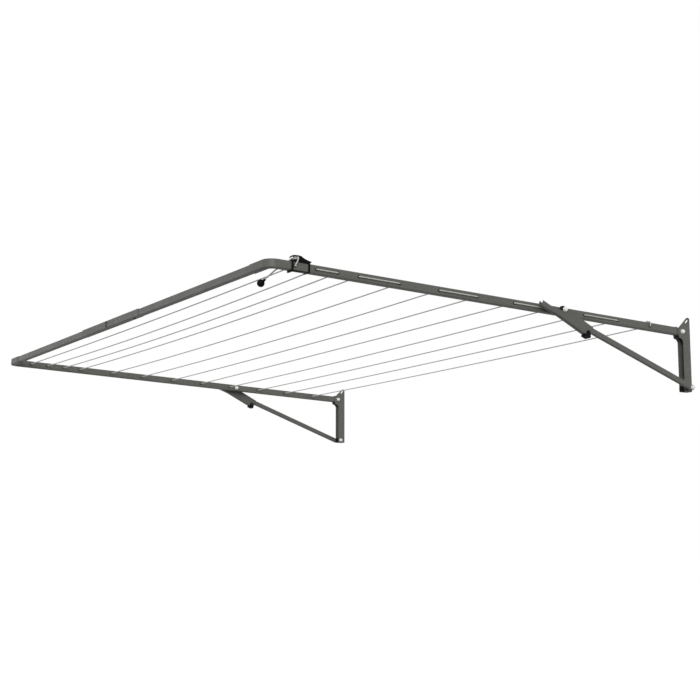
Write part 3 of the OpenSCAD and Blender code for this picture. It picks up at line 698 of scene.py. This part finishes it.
def make_fasteners():
    """Bolts and nuts, seated where the right-hand CAD parts say and mirrored to the left."""
    x_axis = Vector((1, 0, 0))
    bracket_low, bracket_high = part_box("wall_bracket_right")
    cheek = bracket_high[0] - half_w
    inner_cheek = bracket_low[0] - half_w
    channel_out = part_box("brace_channel_right")[1][0] - half_w
    strut_low, strut_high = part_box("strut_right")
    strut_out = strut_high[0] - half_w
    foot_low, foot_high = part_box("strut_spacer_right")
    foot = Vector((0, (foot_low[1] + foot_high[1]) / 2, (foot_low[2] + foot_high[2]) / 2))
    fold = Vector((0, pivot.y, pivot.z))
    brace = Vector((0, brace_pivot.y, brace_pivot.z))

    def at(side, d, place):
        return Vector((outboard(side, d), place.y, place.z))

    bolt_set("pivot_bolt_pair", "wall_brackets", "pivot_bolts",
             [(at(e, cheek, fold), e * x_axis, at(e, inner_cheek - BOLT_END, fold), THREADED)
              for e, _ in SIDES])
    nut_set("pivot_nut_pair", "wall_brackets", "pivot_nuts",
            [(at(e, inner_cheek, fold), -e * x_axis) for e, _ in SIDES])
    bolt_set("foot_bolt_pair", "wall_brackets", "foot_bolts",
             [(at(e, inner_cheek, foot), -e * x_axis, at(e, cheek, foot), 0.0) for e, _ in SIDES])
    bolt_set("brace_bolt_pair", "line_frame", "brace_bolts",
             [(at(e, channel_out + PLAY, brace), e * x_axis,
               at(e, -TUBE_W - BOLT_END, brace), THREADED) for e, _ in SIDES])
    nut_set("brace_nut_pair", "line_frame", "brace_nuts",
            [(at(e, -TUBE_W, brace), -e * x_axis) for e, _ in SIDES])
    for e, word in SIDES:
        bolt_set("strut_bolt_" + word + "_turned", "sliding_strut_" + word, "strut_bolt_" + word,
                 [(at(e, strut_out, foot), e * x_axis, at(e, cheek + PLAY, foot), 0.0)])


make_fasteners()


# ------------------------------------------------------------------ plates, tubes and mouldings

def use_material(material, *nodes):
    """Gives carried-over CAD nodes their material."""
    for node in nodes:
        obj = frame["nodes"][node]
        obj.data.materials.clear()
        obj.data.materials.append(material)


def make_plates_and_tubes():
    for _, word in SIDES:
        refined("brace_channel_" + word, "brace_" + word, grey, 0.35 * MM)
        refined("joiner_" + word, "line_frame", grey, 0.35 * MM)
        refined("bracket_foot_" + word, "wall_brackets", black, 0.6 * MM, 3)
        refined("latch_lever_" + word, "lever_" + word, black, 0.5 * MM, 3)
        refined("strut_cap_" + word, "sliding_strut_" + word, black, 0.7 * MM, 3)
        refined("strut_guides_" + word, "brace_" + word, black, 0.4 * MM)
        use_material(grey, "wall_bracket_" + word, "strut_" + word, "arm_" + word,
                     "front_bar_" + word)
        use_material(black, "arm_plug_" + word, "grommets_" + word, "channel_bush_" + word,
                     "strut_spacer_" + word)
        use_material(pin_steel, "latch_pin_" + word)
        use_material(wire, "latch_spring_" + word)
    refined("line_tensioner", "line_frame", black, 0.6 * MM, 3)
    refined("tensioner_keeper", "line_frame", black, 0.6 * MM, 3)
    use_material(black, "pivot_bushes", "brace_spacers", "joiner_screws")
    use_material(inner_grey, "bar_spigot")
    use_material(grey, "corner_screws")


make_plates_and_tubes()


# ------------------------------------------------------------------ floor and light

WHITE = (1, 1, 1, 1)
FLOOR_Z = -1.9
FLOOR_HALF = 60
FLOOR_SEEN = (0.9, 0.9, 0.9)
FLOOR_LIT = (0.4, 0.4, 0.4)


def make_floor():
    """A pale floor that throws less light up than it shows, so that undersides stay dark."""
    bm = bmesh.new()
    bmesh.ops.create_grid(bm, x_segments=1, y_segments=1, size=FLOOR_HALF)
    mesh = bpy.data.meshes.new("floor")
    bm.to_mesh(mesh)
    bm.free()
    floor = bpy.data.objects.new("floor", mesh)
    floor.location = (0, 0, FLOOR_Z)
    bpy.context.scene.collection.objects.link(floor)
    material, tree, shader = node_material("pale_floor", FLOOR_SEEN, 0.9, specular=0.0)
    path = tree.nodes.new("ShaderNodeLightPath")
    tone = ramp(tree, path.outputs["Is Camera Ray"], ((0.0, FLOOR_LIT), (1.0, FLOOR_SEEN)))
    tree.links.new(tone, shader.inputs["Base Color"])
    mesh.materials.append(material)


def make_world():
    """A white studio, brighter for the light that it gives than for what the camera sees."""
    world = bpy.data.worlds.new("studio")
    bpy.context.scene.world = world
    world.use_nodes = True
    tree = world.node_tree
    tree.nodes.clear()
    path = tree.nodes.new("ShaderNodeLightPath")
    soft = add_node(tree, "ShaderNodeBackground", Color=WHITE, Strength=1.5)
    seen = add_node(tree, "ShaderNodeBackground", Color=WHITE, Strength=1.0)
    mix = tree.nodes.new("ShaderNodeMixShader")
    out = tree.nodes.new("ShaderNodeOutputWorld")
    tree.links.new(path.outputs["Is Camera Ray"], mix.inputs["Fac"])
    tree.links.new(soft.outputs["Background"], mix.inputs[1])
    tree.links.new(seen.outputs["Background"], mix.inputs[2])
    tree.links.new(mix.outputs["Shader"], out.inputs["Surface"])


def soft_sun(name, toward, strength, spread):
    """A wide, soft light from one side; toward points from the object to the light."""
    data = bpy.data.lights.new(name, "SUN")
    data.energy = strength
    data.angle = radians(spread)
    light = bpy.data.objects.new(name, data)
    light.rotation_euler = Vector(toward).to_track_quat("Z", "Y").to_euler()
    light.location = Vector(toward) * 6
    bpy.context.scene.collection.objects.link(light)


make_floor()
make_world()
soft_sun("key", (0.8, -0.6, 0.3), 3.3, 25)
bpy.context.scene.view_settings.view_transform = "Standard"
